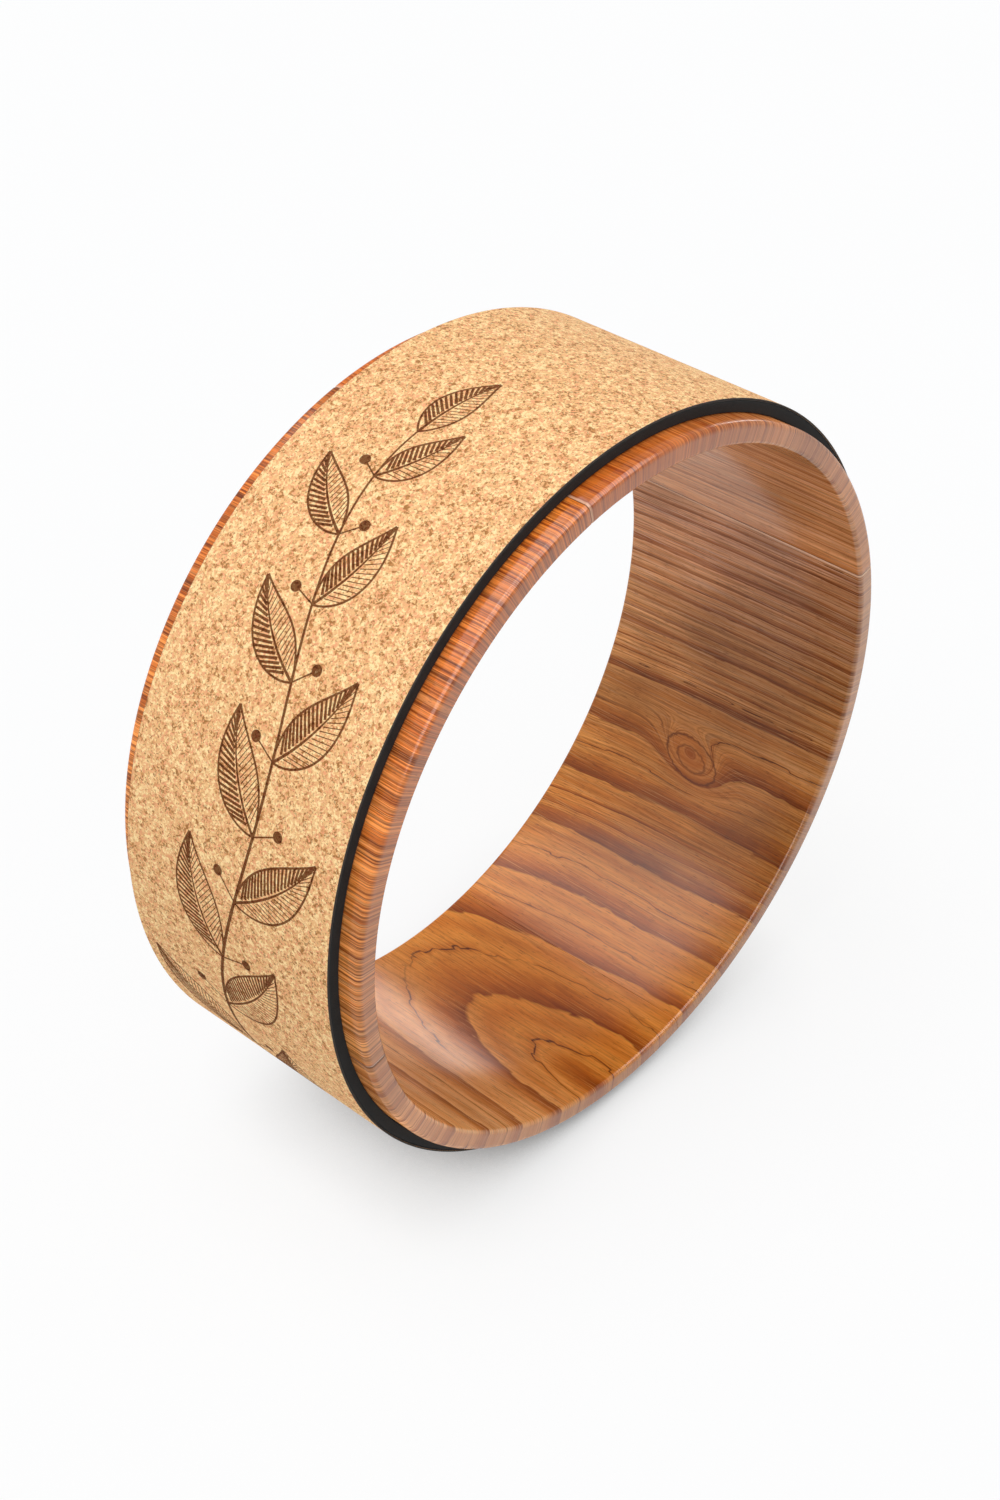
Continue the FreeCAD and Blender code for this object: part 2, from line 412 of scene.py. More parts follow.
class Nodes:
    """Short calls for a material's nodes. The functions below call it n."""

    def __init__(self, name):
        self.material = bpy.data.materials.new(name)
        self.material.use_nodes = True
        self.tree = self.material.node_tree
        self.shader = self.tree.nodes["Principled BSDF"]

    def feed(self, socket, value):
        if isinstance(value, bpy.types.NodeSocket):
            self.tree.links.new(value, socket)
        else:
            socket.default_value = value

    def add(self, kind, inputs, **settings):
        node = self.tree.nodes.new(kind)
        for name, value in settings.items():
            setattr(node, name, value)
        for name, value in inputs.items():
            self.feed(node.inputs[name], value)
        return node

    def math(self, operation, *values):
        return self.add("ShaderNodeMath", dict(enumerate(values)), operation=operation).outputs[0]

    def length(self, x, y):
        squares = self.math("ADD", self.math("MULTIPLY", x, x), self.math("MULTIPLY", y, y))
        return self.math("SQRT", squares)

    def millimetres(self):
        """Place on the object in millimetres."""
        place = self.tree.nodes.new("ShaderNodeTexCoord").outputs["Object"]
        inputs = {"Vector": place, "Scale": 1 / MM}
        return self.add("ShaderNodeVectorMath", inputs, operation="SCALE").outputs["Vector"]

    def stretch(self, vector, x, y, z):
        inputs = {0: vector, 1: (x, y, z)}
        return self.add("ShaderNodeVectorMath", inputs, operation="MULTIPLY").outputs["Vector"]

    def vector(self, x, y, z):
        return self.add("ShaderNodeCombineXYZ", {"X": x, "Y": y, "Z": z}).outputs[0]

    def noise(self, vector, scale, detail=2.0, roughness=0.5):
        inputs = {"Vector": vector, "Scale": scale, "Detail": detail, "Roughness": roughness}
        return self.add("ShaderNodeTexNoise", inputs).outputs["Fac"]

    def span(self, value, low, high, to_low=0.0, to_high=1.0):
        """The value carried from one range to another, and held inside it."""
        inputs = {"Value": value, "From Min": low, "From Max": high, "To Min": to_low, "To Max": to_high}
        return self.add("ShaderNodeMapRange", inputs).outputs[0]

    def ramp(self, value, stops, interpolation="LINEAR"):
        node = self.add("ShaderNodeValToRGB", {"Fac": value})
        scale = node.color_ramp
        scale.interpolation = interpolation
        while len(scale.elements) < len(stops):
            scale.elements.new(0.5)
        for element, (position, colour) in zip(scale.elements, stops):
            element.position = position
            element.color = (*colour, 1)
        return node.outputs["Color"]

    def mix(self, share, first, second, blend="MIX"):
        node = self.add("ShaderNodeMix", {0: share}, data_type="RGBA", blend_type=blend)
        for socket, colour in ((node.inputs[6], first), (node.inputs[7], second)):
            self.feed(socket, colour if isinstance(colour, bpy.types.NodeSocket) else (*colour, 1))
        return node.outputs[2]

    def bump(self, height, strength, distance):
        inputs = {"Height": height, "Strength": strength, "Distance": distance}
        return self.add("ShaderNodeBump", inputs).outputs[0]

    def finish(self, **inputs):
        for name, value in inputs.items():
            self.feed(self.shader.inputs[name.replace("_", " ")], value)
        return self.material


# Wood-grain print

# Pale colour of the painted glints, thin lines that stand in for highlights on the grain's relief, and of
# the pale hairs
WOOD_GLINT = (0.80, 0.42, 0.17)
# Colours that the rims' faces fade to: the first is painted haze of reflected white, the second partly the
# print's colour and partly painted haze
WOOD_PAINTED_HAZE = (0.83, 0.50, 0.33)
WOOD_FACE_AND_HAZE = (0.60, 0.25, 0.13)
# Pale colour of the painted highlight along a sheet's last end
SEAM_HIGHLIGHT = (0.95, 0.70, 0.50)
WOOD_LIGHT = (0.75, 0.315, 0.086)
WOOD_MIDDLE = (0.60, 0.205, 0.042)
WOOD_SHADE = (0.43, 0.118, 0.020)
WOOD_DEEP = (0.27, 0.063, 0.009)
WOOD_LINE = (0.11, 0.028, 0.007)
PALE_AND_DARK = [(0.0, (0.45, 0.36, 0.30)), (0.5, (1, 1, 1)), (1.0, (1.30, 1.38, 1.48))]

# Lengths on a sheet in mm: a quarter of the way round the bore, and from the bore to the pad's seat
QUARTER = BORE / MM * math.radians(90)
WALL = (SEAT - BORE) / MM
# A knot's eye: size in mm round the wheel and along the grain, turn, and push on the rings in mm
KNOT_SIZE = (9.5, 17.0)
KNOT_TURN = -0.22
KNOT_PUSH = 27.0
# Uneven growth: shifts of the rings in mm, the zone from the heart over which they fade, and what stays
SLOW_SHIFT = 18
QUICK_SHIFT = 5
UNREST_ZONE = (40, 130)
UNREST_LEFT = 0.15
# Zones from the heart in mm over which the streaks set in and the lighter heart ends; the lighter heart
# is partly painted light on the low part of the bore
STREAK_ZONE = (70, 150)
HEART_ZONE = (60, 140)
# Zones in mm above the bore over which the rims' tints with their painted light, the rims' faces and the
# full clear coat set in
TINT_START = (0.6, 2.0)
FACE_START = (0.8, 2.5)
COAT_START = (0.05, 0.8)
# Zones in mm short of the pad's seat over which the rims' faces and the full clear coat end
FACE_END = (2.5, 1.0)
COAT_END = (1.7, 0.1)
# Zones in mm from a sheet's ends over which its dark line, a painted shadow at its first end, fades and
# its pale line, a painted highlight at its last end, sets in
SEAM_SHADOW_ZONE = (0.3, 0.9)
SEAM_HIGHLIGHT_ZONE = (1.0, 0.4)
# Weight of the clear coat at the pad's seat, and how far the rims' faces fade to one calm colour, which
# is partly painted haze of reflected white
SEAT_COAT = 0.4
FACE_CALM_AND_HAZE = 0.45

# The picture of sawn wood on each sheet, with lengths in mm. The fourth picture runs on from the third.
# heart: where the log's heart lies round the wheel, from the sheet's middle
# lean: how much the face leans away from the heart along the grain
# ring: width of a growth ring
# narrow: zones of narrow rings, as first and last distance from the heart and the rings added there
# bold: strength of the rings' dark borders
# knots: eyes of knots, as place round the wheel from the sheet's middle, place along the grain, and size
# lighter heart: how much lighter the heart is than the rest, partly the wood's tone and partly painted
# light on the low part of the bore
# streaks, fine: strength and fineness of the streaks that run with the rings
# edges: strength of the dark line at the sheet's first end, a painted shadow, and of the pale line at its
# last, a painted highlight
# coat: weight of the clear coat in the bore
# bore and rim tints: tints from the first end to the last, as share of the way and colour. Besides
# the sheets' own tone they hold painted light, painted shade and painted haze of reflections
# face: the colour that the rims' faces fade to, in the same form; it is partly painted haze of reflections
GRAIN = [
    {"heart": -230, "lean": 0.20, "ring": 11.0, "narrow": [(120, 400, 75)], "bold": 0.35, "knots": [],
     "lighter_heart_and_painted_light": 0.0, "streaks": 0.6, "fine": 1.8, "edges": (0.8, 0.45), "coat": 0.8, "seed": 11.0,
     "bore_tone_and_painted_light": [(0.0, (0.90, 1.08, 1.75)), (0.6, (0.90, 1.04, 1.6)), (0.9, (1.2, 1.02, 0.9))],
     "rim_tone_and_painted_light": [(0.0, (1.05, 1.05, 1.1)), (0.5, (0.95, 0.9, 1.1)), (0.7, (0.80, 0.60, 0.52)),
                   (0.95, (1.02, 0.63, 0.30))],
     "face": [(0.0, (0.67, 0.32, 0.18)), (0.6, WOOD_FACE_AND_HAZE)]},
    {"heart": 250, "lean": 0.20, "ring": 11.0, "narrow": [(100, 400, 160)], "bold": 0.4, "knots": [],
     "lighter_heart_and_painted_light": 0.0, "streaks": 1.3, "fine": 1.6, "edges": (0.8, 0.8), "coat": 0.8, "seed": 29.0,
     "bore_tone_and_painted_light": [(0.0, (1.2, 1.0, 0.85)), (0.4, (1.3, 1.1, 0.92)), (0.75, (1.5, 1.3, 1.1)),
                    (1.0, (1.2, 1.2, 1.3))],
     "rim_tone_and_painted_light": [(0.0, (1.02, 0.70, 0.34)), (0.4, (0.97, 0.68, 0.55)), (0.65, (1.4, 1.2, 1.04)),
                   (1.0, (1.32, 1.38, 1.56))],
     "face": [(0.0, WOOD_FACE_AND_HAZE), (1.0, WOOD_FACE_AND_HAZE)]},
    {"heart": 68, "lean": 0.34, "ring": 13.5, "narrow": [(112, 128, 4), (130, 260, 14)], "bold": 1.0,
     "knots": [], "lighter_heart_and_painted_light": 0.14, "streaks": 0.5, "fine": 1.6, "edges": (0.8, 0.0), "coat": 0.35,
     "seed": 5.0,
     "bore_tone_and_painted_light": [(0.1, (1.4, 1.5, 2.0)), (0.35, (1.55, 2.0, 3.0)), (0.5, (1.22, 1.5, 2.2)),
                    (0.78, (0.92, 0.82, 0.48))],
     "rim_tone_and_painted_light": [(0.0, (1.47, 1.57, 2.0)), (0.35, (1.21, 1.3, 1.65)), (0.75, (0.78, 0.81, 0.70)),
                   (1.0, (0.75, 0.75, 0.55))],
     "face": [(0.0, WOOD_FACE_AND_HAZE), (1.0, WOOD_FACE_AND_HAZE)]},
]
NEXT = {"heart": 68 - QUARTER, "narrow": [(112, 128, 4), (190, 320, 28)], "knots": [(-8, 2, 1.0)],
        "streaks": 0.55, "fine": 2.2, "edges": (0.0, 0.55),
        "bore_tone_and_painted_light": [(0.0, (0.92, 0.82, 0.48)), (0.4, (0.90, 0.90, 0.75)), (0.69, (0.90, 1.10, 1.6)),
                       (1.0, (1.05, 1.38, 2.9))],
        "rim_tone_and_painted_light": [(0.0, (0.75, 0.75, 0.55)), (0.35, (0.79, 0.87, 0.75)), (0.7, (1.1, 1.1, 1.2))],
        "face": [(0.35, WOOD_FACE_AND_HAZE), (0.7, WOOD_PAINTED_HAZE)]}
GRAIN.append({**GRAIN[2], **NEXT})


def sheet_place(n, middle, grain):
    """Place on an unrolled sheet in mm.

    The outputs are the places round the wheel from the heart, along the grain and over the rim, and above
    the bore, and a vector of the first two and the sheet's seed.
    """
    inputs = {"Vector": n.millimetres(), "Angle": middle}
    turned = n.add("ShaderNodeVectorRotate", inputs, rotation_type="Y_AXIS").outputs[0]
    parts = n.add("ShaderNodeSeparateXYZ", {0: turned}).outputs
    turn = n.math("ARCTAN2", parts["Z"], parts["X"])
    round_wheel = n.math("MULTIPLY_ADD", turn, BORE / MM, -grain["heart"])
    above_bore = n.math("SUBTRACT", n.length(parts["X"], parts["Z"]), BORE / MM)
    over_rim = n.math("MULTIPLY", n.math("SIGN", parts["Y"]), above_bore)
    with_grain = n.math("ADD", parts["Y"], over_rim)
    return round_wheel, with_grain, above_bore, n.vector(round_wheel, with_grain, grain["seed"])


def near_knot(n, round_wheel, with_grain, heart, knot):
    """1 at a knot's eye, falling to 0 around it. The eye is longer along the grain and a little turned."""
    across, along_grain, size = knot
    off_round = n.math("SUBTRACT", round_wheel, across - heart)
    off_along = n.math("SUBTRACT", with_grain, along_grain)
    turned = n.math("MULTIPLY_ADD", off_along, KNOT_TURN, off_round)
    wide, long = KNOT_SIZE
    distance = n.length(n.math("DIVIDE", turned, wide * size), n.math("DIVIDE", off_along, long * size))
    return n.math("EXPONENT", n.math("MULTIPLY", n.math("POWER", distance, 2.0), -1.0))


def distance_from_heart(n, round_wheel, with_grain, sheet, grain, knots):
    """Distance from the log's heart in mm, bent by knots and, near the heart, by uneven growth."""
    slow = n.noise(n.stretch(sheet, 0.012, 0.006, 1), 1.0)
    waves = n.noise(n.stretch(sheet, 0.05, 0.014, 1), 1.0)
    slow_shift = n.span(slow, 0, 1, -SLOW_SHIFT, SLOW_SHIFT)
    shift = n.math("ADD", slow_shift, n.span(waves, 0, 1, -QUICK_SHIFT, QUICK_SHIFT))
    unrest = n.span(n.math("ABSOLUTE", round_wheel), *UNREST_ZONE, 1.0, UNREST_LEFT)
    across = n.math("MULTIPLY_ADD", shift, unrest, round_wheel)
    under = n.math("MULTIPLY", n.math("ADD", with_grain, RIM / MM), grain["lean"])
    from_heart = n.length(across, under)
    for knot, eye in zip(grain["knots"], knots):
        from_heart = n.math("MULTIPLY_ADD", eye, KNOT_PUSH * knot[2], from_heart)
    return from_heart


def growth_rings(n, from_heart, sheet, grain):
    """Number of growth rings from the log's heart, with borders that jump a little from fibre to fibre."""
    years = n.math("DIVIDE", from_heart, grain["ring"])
    spells = n.noise(n.stretch(n.vector(from_heart, 0.0, grain["seed"]), 0.12, 1, 1), 1.0)
    uneven = n.math("ADD", from_heart, n.span(spells, 0.25, 0.75, -5, 5))
    for first, last, added in grain["narrow"]:
        years = n.math("ADD", years, n.span(uneven, first, last, 0, added))
    inputs = {"Vector": n.stretch(sheet, 0.25, 0.09, 1), "Scale": 1.0, "Smoothness": 0.4}
    cells = n.add("ShaderNodeTexVoronoi", inputs, feature="SMOOTH_F1").outputs
    jumps = n.add("ShaderNodeSeparateColor", {0: cells["Color"]}).outputs[0]
    return n.math("ADD", years, n.span(jumps, 0, 1, -0.06, 0.06))


def ring_colour(n, years, patches, grain):
    """Rings by turns: one ends in a thin dark line, the next starts dark and fades."""
    pair = n.math("FRACT", n.math("MULTIPLY", years, 0.5))
    bold = n.ramp(pair, [(0.0, WOOD_DEEP), (0.14, WOOD_SHADE), (0.30, WOOD_MIDDLE), (0.42, WOOD_LIGHT),
                         (0.474, WOOD_MIDDLE), (0.480, WOOD_LINE), (0.488, WOOD_LINE), (0.495, WOOD_MIDDLE),
                         (0.60, WOOD_LIGHT), (0.80, WOOD_MIDDLE), (0.97, WOOD_LIGHT), (1.0, WOOD_DEEP)])
    soft = n.ramp(pair, [(0.0, WOOD_SHADE), (0.25, WOOD_MIDDLE), (0.5, WOOD_LIGHT), (0.7, WOOD_MIDDLE),
                         (0.92, WOOD_LIGHT), (1.0, WOOD_SHADE)])
    return n.mix(n.span(patches, 0.32, 0.5, 0, grain["bold"]), soft, bold)


def thin_lines(n, vector, width):
    """1 on the thin lines where a noise crosses its middle value, 0 beside them."""
    off_middle = n.math("ABSOLUTE", n.math("SUBTRACT", n.noise(vector, 1.0, 2.0), 0.5))
    return n.span(off_middle, 0, width, 1, 0)


def streaked(n, colour, from_heart, with_rings, patches, grain):
    """The colour with streaks, dark lines and painted glints that run with the rings, away from the heart.
    The glints are pale thin lines that stand in for highlights on the grain's relief.
    """
    away = n.span(from_heart, *STREAK_ZONE, 0.1 * grain["streaks"], grain["streaks"])
    broad = n.span(n.noise(n.stretch(with_rings, 0.38 * grain["fine"], 0.004, 1), 1.0, 2.0), 0.3, 0.7)
    colour = n.mix(n.math("MULTIPLY", away, 0.45), colour, n.ramp(broad, PALE_AND_DARK), "MULTIPLY")
    fine = n.span(n.noise(n.stretch(with_rings, grain["fine"], 0.007, 1), 1.0, 1.0), 0.36, 0.62)
    colour = n.mix(n.math("MULTIPLY", away, 0.7), colour, n.ramp(fine, PALE_AND_DARK), "MULTIPLY")
    dark = thin_lines(n, n.stretch(with_rings, 0.26, 0.004, 1), 0.025)
    dark = n.math("MULTIPLY", dark, n.math("MULTIPLY", away, n.span(patches, 0.3, 0.7, 0.9, 0.4)))
    colour = n.mix(dark, colour, WOOD_LINE)
    # Painted glints: pale thin lines that stand in for highlights on the grain's relief
    painted_highlight = thin_lines(n, n.stretch(with_rings, 0.17, 0.003, 7), 0.014)
    painted_highlight = n.math("MULTIPLY", painted_highlight, n.math("MULTIPLY", away, n.span(patches, 0.3, 0.7, 0.2, 0.7)))
    return n.mix(painted_highlight, colour, WOOD_GLINT), dark


def with_eye(n, colour, eye, sheet):
    """The colour with a knot's dull eye and its two thin outlines."""
    colour = n.mix(n.math("MULTIPLY", eye, 0.55), colour, WOOD_SHADE)
    frayed = n.math("ADD", eye, n.span(n.noise(n.stretch(sheet, 0.5, 0.3, 1), 1.0), 0, 1, -0.08, 0.08))
    for border, strength in ((0.45, 0.75), (0.78, 0.6)):
        off_border = n.math("ABSOLUTE", n.math("SUBTRACT", frayed, border))
        colour = n.mix(n.span(off_border, 0.01, 0.05, strength, 0), colour, WOOD_LINE)
    return colour


def with_seam_shadow_and_highlight(n, colour, from_end, grain):
    """The colour with a painted shadow line along a sheet's first end and a painted highlight line
    along its last.
    """
    dark, painted_highlight = grain["edges"]
    colour = n.mix(n.span(from_end, *SEAM_SHADOW_ZONE, dark, 0), colour, WOOD_LINE)
    first, last = [QUARTER - distance for distance in SEAM_HIGHLIGHT_ZONE]
    return n.mix(n.span(from_end, first, last, 0, painted_highlight), colour, SEAM_HIGHLIGHT)


def with_fibres(n, colour, sheet):
    """The colour with fibres, pale hairs and dark pores along the grain, and the fibres alone."""
    fibres = n.noise(n.stretch(sheet, 1.1, 0.03, 1), 1.0, 3.0, 0.75)
    colour = n.mix(0.6, colour, n.ramp(n.span(fibres, 0.32, 0.68), PALE_AND_DARK), "MULTIPLY")
    hairs = n.noise(n.stretch(sheet, 2.3, 0.025, 1), 1.0, 1.0)
    colour = n.mix(n.span(hairs, 0.60, 0.70, 0.0, 0.5), colour, WOOD_GLINT)
    pores = n.noise(n.stretch(sheet, 2.6, 0.2, 1), 1.0, 1.0)
    return n.mix(n.span(pores, 0.64, 0.72, 0.0, 0.6), colour, WOOD_LINE), fibres


def with_clouds(n, colour, from_heart, sheet, grain):
    """The colour with lighter and darker clouds and a lighter heart, which is partly painted light on
    the low part of the bore.
    """
    tone = n.noise(n.stretch(sheet, 0.016, 0.009, 1), 1.0, 2.0)
    # A lighter heart, partly painted light on the low part of the bore
    lighter = grain["lighter_heart_and_painted_light"]
    tone = n.math("ADD", tone, n.span(from_heart, *HEART_ZONE, lighter, -lighter))
    tones = n.ramp(tone, [(0.3, (0.62, 0.58, 0.52)), (0.5, (1, 1, 1)), (0.7, (1.15, 1.15, 1.12))])
    return n.mix(0.9, colour, tones, "MULTIPLY")


def with_tone_and_painted_light(n, colour, from_end, above_bore, grain):
    """The colour with tints of the bore and the rims, which hold painted light, painted shade and painted
    haze besides the sheets' own tone, and a calmer picture on the rims' faces.
    """
    share = n.span(from_end, 0, QUARTER)
    on_rim = n.span(above_bore, *TINT_START)
    # Tints along the sheet: its own tone together with painted light, painted shade and painted haze
    tints_and_painted_light = n.mix(on_rim, n.ramp(share, grain["bore_tone_and_painted_light"]), n.ramp(share, grain["rim_tone_and_painted_light"]))
    colour = n.mix(1.0, colour, tints_and_painted_light, "MULTIPLY")
    # The rims' faces fade to a calmer colour that is partly painted haze of reflected white
    past_bore = n.span(above_bore, *FACE_START)
    first, last = [WALL - distance for distance in FACE_END]
    before_seat = n.span(above_bore, first, last, FACE_CALM_AND_HAZE, 0)
    return n.mix(n.math("MULTIPLY", past_bore, before_seat), colour, n.ramp(share, grain["face"]))


def coat_weight(n, above_bore, grain):
    """The clear coat's weight: full on the rims' faces, less in the bore and towards the pad."""
    from_bore = n.span(above_bore, *COAT_START, grain["coat"], 1.0)
    first, last = [WALL - distance for distance in COAT_END]
    to_seat = n.span(above_bore, first, last, 1.0, SEAT_COAT)
    return n.math("MINIMUM", from_bore, to_seat)


def wood_material(number, middle, grain):
    """Printed sawn wood under a clear gloss coat, with the grain along the wheel's axis, and painted light,
    shade and haze on parts of the bore and rims.
    """
    n = Nodes("wood_print_" + str(number))
    round_wheel, with_grain, above_bore, sheet = sheet_place(n, middle, grain)
    knots = [near_knot(n, round_wheel, with_grain, grain["heart"], knot) for knot in grain["knots"]]
    from_heart = distance_from_heart(n, round_wheel, with_grain, sheet, grain, knots)
    patches = n.noise(n.stretch(sheet, 0.03, 0.014, 1), 1.0, 2.0)
    colour = ring_colour(n, growth_rings(n, from_heart, sheet, grain), patches, grain)
    with_rings = n.vector(from_heart, with_grain, grain["seed"])
    colour, dark = streaked(n, colour, from_heart, with_rings, patches, grain)
    colour, fibres = with_fibres(n, colour, sheet)
    colour = with_clouds(n, colour, from_heart, sheet, grain)
    from_end = n.math("ADD", round_wheel, grain["heart"] + QUARTER / 2)
    # Tints that are partly painted light, painted shade and painted haze
    colour = with_tone_and_painted_light(n, colour, from_end, above_bore, grain)
    # Painted shadow and painted highlight along the sheets' ends at the seams
    colour = with_seam_shadow_and_highlight(n, colour, from_end, grain)
    for eye in knots:
        colour = with_eye(n, colour, eye, sheet)
    relief = n.math("SUBTRACT", n.math("MULTIPLY", fibres, 0.5), dark)
    return n.finish(Base_Color=colour, Roughness=0.5, Specular_IOR_Level=0.0,
                    Coat_Weight=coat_weight(n, above_bore, grain), Coat_IOR=1.6, Coat_Roughness=0.19,
                    Normal=n.bump(relief, 0.2, 0.06 * MM))


# Cork and its print

CORK_SHADES = [
    (0.0, (0.40, 0.175, 0.056)),
    (0.12, (0.67, 0.31, 0.115)),
    (0.28, (0.87, 0.395, 0.205)),
    (0.45, (0.83, 0.46, 0.21)),
    (0.70, (0.87, 0.53, 0.24)),
    (0.92, (1.0, 0.74, 0.38)),
]
CORK_SPECK = (0.40, 0.165, 0.045)
CORK_CREAM = (1.0, 0.80, 0.44)
INK_TINT = (0.20, 0.115, 0.075)
# Large and small granules to a millimetre, their shares in the colour, and the wander of borders in mm
GRANULES = (0.45, 1.15)
GRANULE_SHARES = (0.4, 0.6)
GRANULE_WANDER = (2.0, 2.0, 2.0)


def cork_grains(n, place):
    """Colour and height of pressed cork granules."""
    wander = n.add("ShaderNodeTexNoise", {"Vector": place, "Scale": 0.7, "Detail": 2.0}).outputs["Color"]
    inputs = {0: wander, 1: GRANULE_WANDER, 2: place}
    uneven = n.add("ShaderNodeVectorMath", inputs, operation="MULTIPLY_ADD").outputs[0]
    large = n.add("ShaderNodeTexVoronoi", {"Vector": uneven, "Scale": GRANULES[0]}).outputs["Color"]
    small = n.add("ShaderNodeTexVoronoi", {"Vector": uneven, "Scale": GRANULES[1]}).outputs["Color"]
    large_pick = n.add("ShaderNodeSeparateColor", {0: large}).outputs[0]
    small_pick = n.add("ShaderNodeSeparateColor", {0: small}).outputs[1]
    large_share = n.math("MULTIPLY", large_pick, GRANULE_SHARES[0])
    small_share = n.math("MULTIPLY", small_pick, GRANULE_SHARES[1])
    pick = n.math("ADD", large_share, small_share)
    colour = n.ramp(n.span(pick, 0.17, 0.83), CORK_SHADES)
    specks = n.noise(place, 1.2, 2.0, 0.6)
    colour = n.mix(n.span(specks, 0.60, 0.65, 0.0, 0.85), colour, CORK_SPECK)
    flakes = n.noise(uneven, 0.95, 1.0)
    colour = n.mix(n.span(flakes, 0.61, 0.68, 0.0, 0.6), colour, CORK_CREAM)
    height = n.math("ADD", small_pick, n.span(specks, 0.3, 0.7, 1.0, 0.0))
    return colour, height


def cork_material():
    """Sanded cork."""
    n = Nodes("cork")
    colour, height = cork_grains(n, n.millimetres())
    return n.finish(Base_Color=colour, Roughness=0.85, Specular_IOR_Level=0.05,
                    Normal=n.bump(height, 0.35, 0.1 * MM))


def ink_material():
    """Brown print that lets the cork's granules show through a little."""
    n = Nodes("cork_print")
    place = n.millimetres()
    colour, height = cork_grains(n, place)
    tinted = n.mix(1.0, colour, INK_TINT, "MULTIPLY")
    worn = n.span(n.noise(place, 1.6, 3.0, 0.7), 0.58, 0.75, 0.0, 0.45)
    return n.finish(Base_Color=n.mix(worn, tinted, colour), Roughness=0.8, Specular_IOR_Level=0.05,
                    Normal=n.bump(height, 0.3, 0.1 * MM))


def cut_edge_material():
    """The dark edge that a hot knife leaves on cork and glue."""
    n = Nodes("cut_edge")
    char = n.noise(n.millimetres(), 1.5, 3.0, 0.6)
    colour = n.ramp(char, [(0.3, (0.030, 0.029, 0.028)), (0.7, (0.060, 0.050, 0.042))])
    return n.finish(Base_Color=colour, Roughness=0.8, Specular_IOR_Level=0.3)


# Foam, plastic and adhesive

def foam_material():
    """Black closed-cell foam: fine cells and a slightly clouded matte skin."""
    n = Nodes("foam")
    place = n.millimetres()
    cells = n.add("ShaderNodeTexVoronoi", {"Vector": place, "Scale": 2.6}).outputs["Distance"]
    cloud = n.noise(place, 0.25, 3.0)
    shade = n.math("ADD", n.math("MULTIPLY", cells, 0.5), n.math("MULTIPLY", cloud, 0.6))
    colour = n.ramp(shade, [(0.25, (0.019, 0.020, 0.020)), (0.75, (0.034, 0.035, 0.035))])
    return n.finish(Base_Color=colour, Roughness=n.span(cloud, 0.3, 0.7, 0.62, 0.78),
                    Specular_IOR_Level=0.06, Normal=n.bump(cells, 0.25, 0.08 * MM))


def plastic_material():
    """Dark moulded plastic with a fine spark-eroded texture and faint flow marks."""
    n = Nodes("hoop_plastic")
    place = n.millimetres()
    flow = n.noise(n.stretch(place, 0.02, 0.3, 0.02), 1.0, 3.0)
    grit = n.noise(place, 3.5, 2.0)
    colour = n.ramp(flow, [(0.3, (0.042, 0.038, 0.034)), (0.7, (0.058, 0.052, 0.046))])
    return n.finish(Base_Color=colour, Roughness=n.span(flow, 0.3, 0.7, 0.5, 0.62),
                    Normal=n.bump(grit, 0.3, 0.05 * MM))


def adhesive_material():
    """Milky adhesive film with fine bubbles."""
    n = Nodes("adhesive")
    place = n.millimetres()
    bubbles = n.add("ShaderNodeTexVoronoi", {"Vector": place, "Scale": 0.8}).outputs["Distance"]
    colour = n.ramp(bubbles, [(0.1, (0.68, 0.65, 0.56)), (0.5, (0.56, 0.53, 0.44))])
    return n.finish(Base_Color=colour, Roughness=n.span(bubbles, 0.1, 0.5, 0.3, 0.5),
                    Normal=n.bump(bubbles, 0.2, 0.05 * MM))


def paint(item, *materials):
    """Gives an object these materials and no others."""
    item.data.materials.clear()
    for material in materials:
        item.data.materials.append(material)


def darken_cut_edge(item, half):
    """Gives the second material to the faces on a strip's two cut sides."""
    for face in item.data.polygons:
        if abs(face.center.y) > half - CORK_ROUND:
            face.material_index = 1


# Floor, light and camera

AMBIENT = 0.26
# Distant lamps: the share is the brightness that a lamp gives a white face turned towards it.
LAMPS = [
    {"name": "overhead", "towards": (-0.15, 0.12, 0.98), "share": 0.35, "angle": 30, "shadow": True},
    {"name": "left", "towards": (-0.7, 0, 0.71), "share": 0.27, "angle": 60, "shadow": False},
    {"name": "fill", "towards": (0, -0.15, 0.99), "share": 0.30, "angle": 80, "shadow": False},
]
# Soft boxes that only show in the gloss: place, the way they face, width and height in metres, and
# brightness with white as 1.
BOXES = [
    {"name": "strip", "place": (-0.6, -0.5, 1.2), "faces": (0, 0.4, -1), "size": (3.4, 1.7),
     "brightness": 5.0},
    {"name": "behind", "place": (-0.3, 0.94, 1.76), "faces": (0.3, -0.94, -1.76), "size": (1.6, 0.9),
     "brightness": 4.0},
    {"name": "right", "place": (1.7, 0.96, 0.3), "faces": (-1.7, -0.96, -0.3), "size": (0.9, 0.5),
     "brightness": 6.0},
]
FLOOR_RADIUS = 8.0
FLOOR_SIDES = 64
FLOOR_GLOW = 0.87
# Brightness of the floor's glow against the share of open sky within the reach.
FLOOR_SHADE = [(0.1, 0.04), (0.25, 0.35), (0.4, 0.69), (0.55, 0.845), (0.7, 0.92), (0.85, 0.98), (1.0, 1.0)]
SHADE_REACH = 0.05
CAMERA_TURN = math.radians(-48.534)
CAMERA_RISE = math.radians(37.669)
CAMERA_DISTANCE = TREAD * 6.1635
AIM_TURN = math.radians(0.575)
AIM_RISE = math.radians(0.368)
LENS = 59.11


